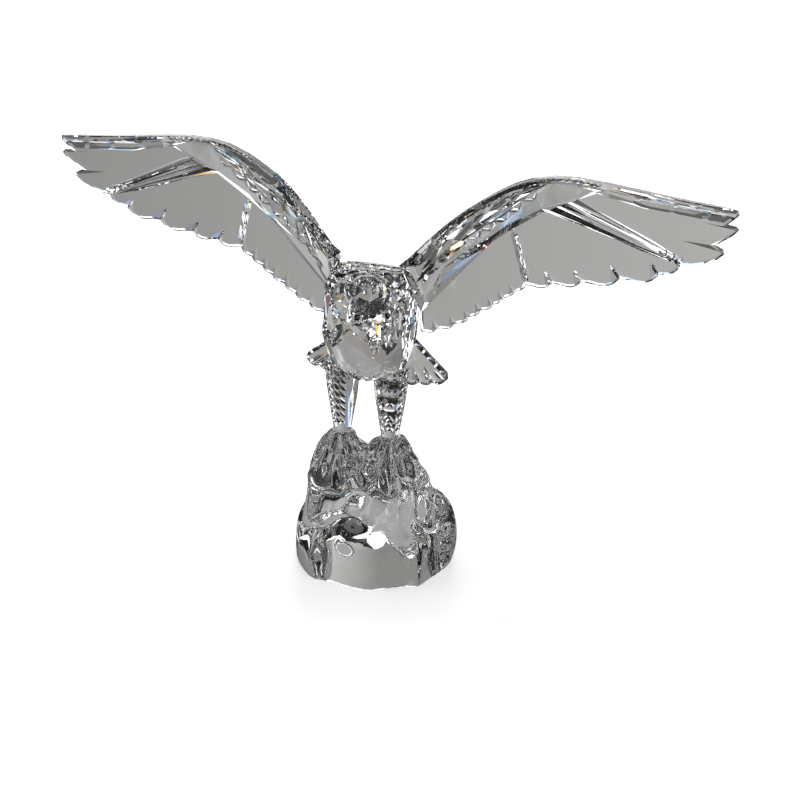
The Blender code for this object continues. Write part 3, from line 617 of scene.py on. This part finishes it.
# Light with a greater Ray Depth than this meets the glow as black: painted shade for long paths in the
# crystal
MOST_DEPTH = 5.5
# Shares of straight behind, from which the glow turns pale: a painted lighter side
PAINTED_PALE_BEHIND = (0.3, 0.5)

bm = bmesh.new()
bmesh.ops.create_grid(bm, x_segments=1, y_segments=1, size=6)
for vertex in bm.verts:
    vertex.co.z = -0.0001
pale = bpy.data.materials.new("pale table with painted glow")
pale.use_nodes = True
tree = pale.node_tree
shader = tree.nodes["Principled BSDF"]
shader.inputs["Base Color"].default_value = linear("#F4F4F4")
shader.inputs["Roughness"].default_value = 0.3
shader.inputs["Emission Color"].default_value = linear("#FFFFFF")
shader.inputs["Emission Strength"].default_value = 0.45
place = add_node(tree, "ShaderNodeTexCoord").outputs["Object"]
far = add_node(tree, "ShaderNodeVectorMath", {0: place}, operation="LENGTH").outputs["Value"]
path = add_node(tree, "ShaderNodeLightPath")
settings = {0: place, 1: BEHIND}
behind = add_node(tree, "ShaderNodeVectorMath", settings, operation="DOT_PRODUCT").outputs["Value"]
behind = add_node(tree, "ShaderNodeMath", {0: behind, 1: far}, operation="DIVIDE").outputs[0]
level = 1.0
# The glow's level is the product of four shares: painted shade under the rock, the painted dark ring, black
# for long paths, paler behind. Each changes between two values of what it hangs on
for value, start, end, first, last in (
    (far, PAINTED_SHADE_RADIUS, PAINTED_SHADE_RADIUS + 0.008, 0.05, 0.4),
    (far, DARK_RING_IN, DARK_RING_IN + DARK_RING_EDGE, 1.0, DARK_RING_GLOW),
    (path.outputs["Ray Depth"], MOST_DEPTH - 0.1, MOST_DEPTH + 0.1, 1.0, 0.02),
    (behind, *PAINTED_PALE_BEHIND, 0.25, 1.0),
):
    share = add_node(tree, "ShaderNodeMapRange", {0: value, 1: start, 2: end, 3: first, 4: last}).outputs[0]
    level = add_node(tree, "ShaderNodeMath", {0: level, 1: share}, operation="MULTIPLY").outputs[0]
# The painted glow: light and shade painted on the table for all rays but the camera's; it is no lamp
painted_glow = add_node(tree, "ShaderNodeEmission", {"Strength": level})
clear = add_node(tree, "ShaderNodeBsdfTransparent")
open_part = add_node(tree, "ShaderNodeMapRange", {0: far, 1: DARK_RING_OUT, 2: DARK_RING_OUT + 0.03}).outputs[0]
around = add_node(tree, "ShaderNodeMixShader", {0: open_part, 1: painted_glow.outputs[0], 2: clear.outputs[0]})
settings = {0: path.outputs["Is Camera Ray"], 1: around.outputs[0], 2: shader.outputs[0]}
mixed = add_node(tree, "ShaderNodeMixShader", settings)
tree.links.new(mixed.outputs[0], tree.nodes["Material Output"].inputs["Surface"])
floor = add_piece("floor", bm, pale)


# The black card
#
# A ring of black card with a few white windows, held level just above the rock. It shows only from beneath:
# it keeps some of the studio's light out of the rock's craggy top, and lets light through from above.

CARD_LEVEL = 53.0
CARD_IN = 15.5
CARD_OUT = 84.0
CARD_SIDES = 48
CARD_BLACK = 0.012
WINDOW_WHITE = 1.9

bm = bmesh.new()
turns = [2 * math.pi * i / CARD_SIDES for i in range(CARD_SIDES)]
rings = []
for radius in (CARD_IN, CARD_OUT):
    flat = [(radius * MM * math.cos(turn), radius * MM * math.sin(turn)) for turn in turns]
    rings.append([bm.verts.new((x, y, CARD_LEVEL * MM)) for x, y in flat])
for i in range(CARD_SIDES):
    bm.faces.new((rings[0][i - 1], rings[1][i - 1], rings[1][i], rings[0][i]))
black_card = bpy.data.materials.new("black card")
black_card.use_nodes = True
tree = black_card.node_tree
tree.nodes.remove(tree.nodes["Principled BSDF"])
place = add_node(tree, "ShaderNodeTexCoord").outputs["Object"]
settings = {"Vector": place, "Scale": 38.0, "Detail": 0.0}
spread = add_node(tree, "ShaderNodeTexNoise", settings).outputs["Fac"]
limits = {0: spread, 1: 0.56, 2: 0.58, 3: CARD_BLACK, 4: WINDOW_WHITE}
window = add_node(tree, "ShaderNodeMapRange", limits).outputs[0]
card = add_node(tree, "ShaderNodeEmission", {"Strength": window})
clear = add_node(tree, "ShaderNodeBsdfTransparent")
beneath = add_node(tree, "ShaderNodeNewGeometry").outputs["Backfacing"]
mixed = add_node(tree, "ShaderNodeMixShader", {0: beneath, 1: clear.outputs[0], 2: card.outputs[0]})
tree.links.new(mixed.outputs[0], tree.nodes["Material Output"].inputs["Surface"])
black_ring = add_piece("black_card", bm, black_card)
black_ring.visible_camera = False


# The studio
#
# White softboxes and black flags stand round grey sheets. The edge of each softbox falls at a slightly
# different place in red, green and blue, for the coloured fringes that crystal makes of white light.

GREYS = (0.52, 0.27)
GREY_BEARINGS = (-172, -143)
DARK = 0.12
DEEP_DARK = 0.025
# The Ray Depth past which light is deep in the crystal, and past which it is lost there
DEEP = 3.5
LOST = 8.5
LOST_LIGHT = 0.5
SHEET_BLUR = 2.0
SOFTBOX_BLUR = 1.2
FRINGE = 0.45
WARMTH = (1.015, 1.0, 0.975)
SHEETS = [
    # bearing, elevation, width, height in degrees: the grey that a flat pane shows from that side
    (210, -12, 56, 34),
    (23, -21, 42, 50),
    (90, -18, 30, 50),
    (270, -18, 30, 50),
    (-9, 18, 16, 24),
]
DEEP_SHEETS = [(203, 22, 124, 56), (23, 22, 80, 56)]
SOFTBOXES = [
    # bearing, elevation, width, height in degrees, brightness, colour
    (-35, 54, 46, 24, 3.2, "#FFFFFF"),
    (165, 58, 44, 16, 3.2, "#FFFFFF"),
    (60, -20, 12, 50, 1.5, "#FFFFFF"),
    (196, 24, 44, 38, 1.7, "#FFFFFF"),
    (24, 22, 44, 24, 1.7, "#FFFFFF"),
    (247, -14, 12, 50, 1.3, "#FFFFFF"),
    (166, -24, 12, 40, 1.6, "#FFFFFF"),
    (205, -80, 360, 12, 1.2, "#FFFFFF"),
    (-2, -16, 12, 46, 1.5, "#FFFFFF"),
    (88, 42, 34, 30, 3.2, "#FFFFFF"),
    (-118, 48, 34, 20, 3.2, "#FFFFFF"),
    (130, 6, 14, 40, 2.0, "#FFFFFF"),
    (-60, 10, 18, 40, 2.0, "#FFFFFF"),
    (221, 0, 9, 7, 0.8, "#A2B8E4"),
    (228, -8, 8, 8, 1.0, "#D3DEF6"),
    (176, 4, 8, 20, 1.0, "#F2DAD2"),
    (224, -50, 12, 10, 1.0, "#93A8D8"),
]

world = bpy.data.worlds.new("studio")
bpy.context.scene.world = world
world.use_nodes = True
tree = world.node_tree
tree.nodes.clear()


def calc(operation, first, second=0.0, third=0.0):
    return add_node(tree, "ShaderNodeMath", {0: first, 1: second, 2: third}, operation=operation).outputs[0]


def patch(bearing, rise, place, blur, shift=0.0):
    """1 inside a patch of the room, given as bearing, elevation, width and height in degrees, else 0."""
    off = calc("ABSOLUTE", calc("WRAP", calc("SUBTRACT", bearing, place[0] + shift), 180.0, -180.0))
    above = calc("ABSOLUTE", calc("SUBTRACT", rise, place[1] + shift))
    sides = []
    for value, size in ((off, place[2]), (above, place[3])):
        limits = {0: value, 1: size / 2 - blur, 2: size / 2 + blur, 3: 1.0, 4: 0.0}
        sides.append(add_node(tree, "ShaderNodeMapRange", limits).outputs[0])
    return calc("MULTIPLY", *sides)


way = add_node(tree, "ShaderNodeTexCoord").outputs["Generated"]
split = add_node(tree, "ShaderNodeSeparateXYZ", {0: way})
bearing = calc("ARCTAN2", split.outputs[0], calc("MULTIPLY", split.outputs[1], -1.0))
bearing = calc("MULTIPLY", bearing, 180 / math.pi)
rise = calc("MULTIPLY", calc("ARCSINE", split.outputs[2]), 180 / math.pi)
path = add_node(tree, "ShaderNodeLightPath")
deep = calc("GREATER_THAN", path.outputs["Ray Depth"], DEEP)
lost = calc("GREATER_THAN", path.outputs["Ray Depth"], LOST)
kept = calc("SUBTRACT", 1.0, lost)
sheet = 0.0
for place in SHEETS:
    sheet = calc("MAXIMUM", sheet, patch(bearing, rise, place, SHEET_BLUR))
sheet = calc("MULTIPLY", sheet, kept)
far_sheet = 0.0
for place in DEEP_SHEETS:
    far_sheet = calc("MAXIMUM", far_sheet, patch(bearing, rise, place, SHEET_BLUR))
far_sheet = calc("MULTIPLY", calc("MULTIPLY", far_sheet, deep), kept)
limits = {0: bearing, 1: GREY_BEARINGS[0], 2: GREY_BEARINGS[1], 3: GREYS[0], 4: GREYS[1]}
grey = add_node(tree, "ShaderNodeMapRange", limits).outputs[0]
black = calc("MULTIPLY_ADD", deep, DEEP_DARK - DARK, DARK)
base = calc("MULTIPLY_ADD", calc("MAXIMUM", sheet, far_sheet), calc("SUBTRACT", grey, black), black)
uncovered = calc("SUBTRACT", 1.0, far_sheet)
dimmed = calc("MULTIPLY_ADD", lost, LOST_LIGHT - 1.0, 1.0)
channels = []
for channel, shift in enumerate((FRINGE, 0.0, -FRINGE)):
    level = 0.0
    for *place, brightness, colour in SOFTBOXES:
        window = patch(bearing, rise, place, SOFTBOX_BLUR, shift)
        level = calc("ADD", level, calc("MULTIPLY", window, brightness * linear(colour)[channel]))
    level = calc("MULTIPLY", level, dimmed)
    channels.append(calc("MULTIPLY_ADD", level, uncovered, calc("MULTIPLY", base, WARMTH[channel])))
room = add_node(tree, "ShaderNodeCombineColor", {0: channels[0], 1: channels[1], 2: channels[2]})
lit = add_node(tree, "ShaderNodeBackground", {"Color": room.outputs[0]})
white = add_node(tree, "ShaderNodeBackground", {"Color": linear("#FFFFFF")})
settings = {0: path.outputs["Is Camera Ray"], 1: lit.outputs[0], 2: white.outputs[0]}
mixed = add_node(tree, "ShaderNodeMixShader", settings)
tree.links.new(mixed.outputs[0], add_node(tree, "ShaderNodeOutputWorld").inputs[0])


# The camera
#
# It stands a little to the eagle's left and looks down on it, as the photograph's does.

AZIMUTH = math.radians(23.0)
ELEVATION = math.radians(22.1)
# The distance and the target are in metres
DISTANCE = 0.665
LENS = 85.5
TARGET = Vector((0.0131, -0.00525, 0.0663))

level = math.cos(ELEVATION)
way = Vector((math.sin(AZIMUTH) * level, -math.cos(AZIMUTH) * level, math.sin(ELEVATION)))
camera = bpy.data.objects.new("camera", bpy.data.cameras.new("camera"))
bpy.context.scene.collection.objects.link(camera)
camera.location = TARGET + way * DISTANCE
camera.rotation_euler = (-way).to_track_quat("-Z", "Y").to_euler()
camera.data.lens = LENS
camera.data.sensor_width = 36
camera.data.clip_start = 0.01
scene = bpy.context.scene
scene.camera = camera
scene.view_settings.view_transform = "Standard"
scene.cycles.max_bounces = 24
scene.cycles.transmission_bounces = 22
scene.cycles.glossy_bounces = 12
scene.cycles.sample_clamp_indirect = 6.0
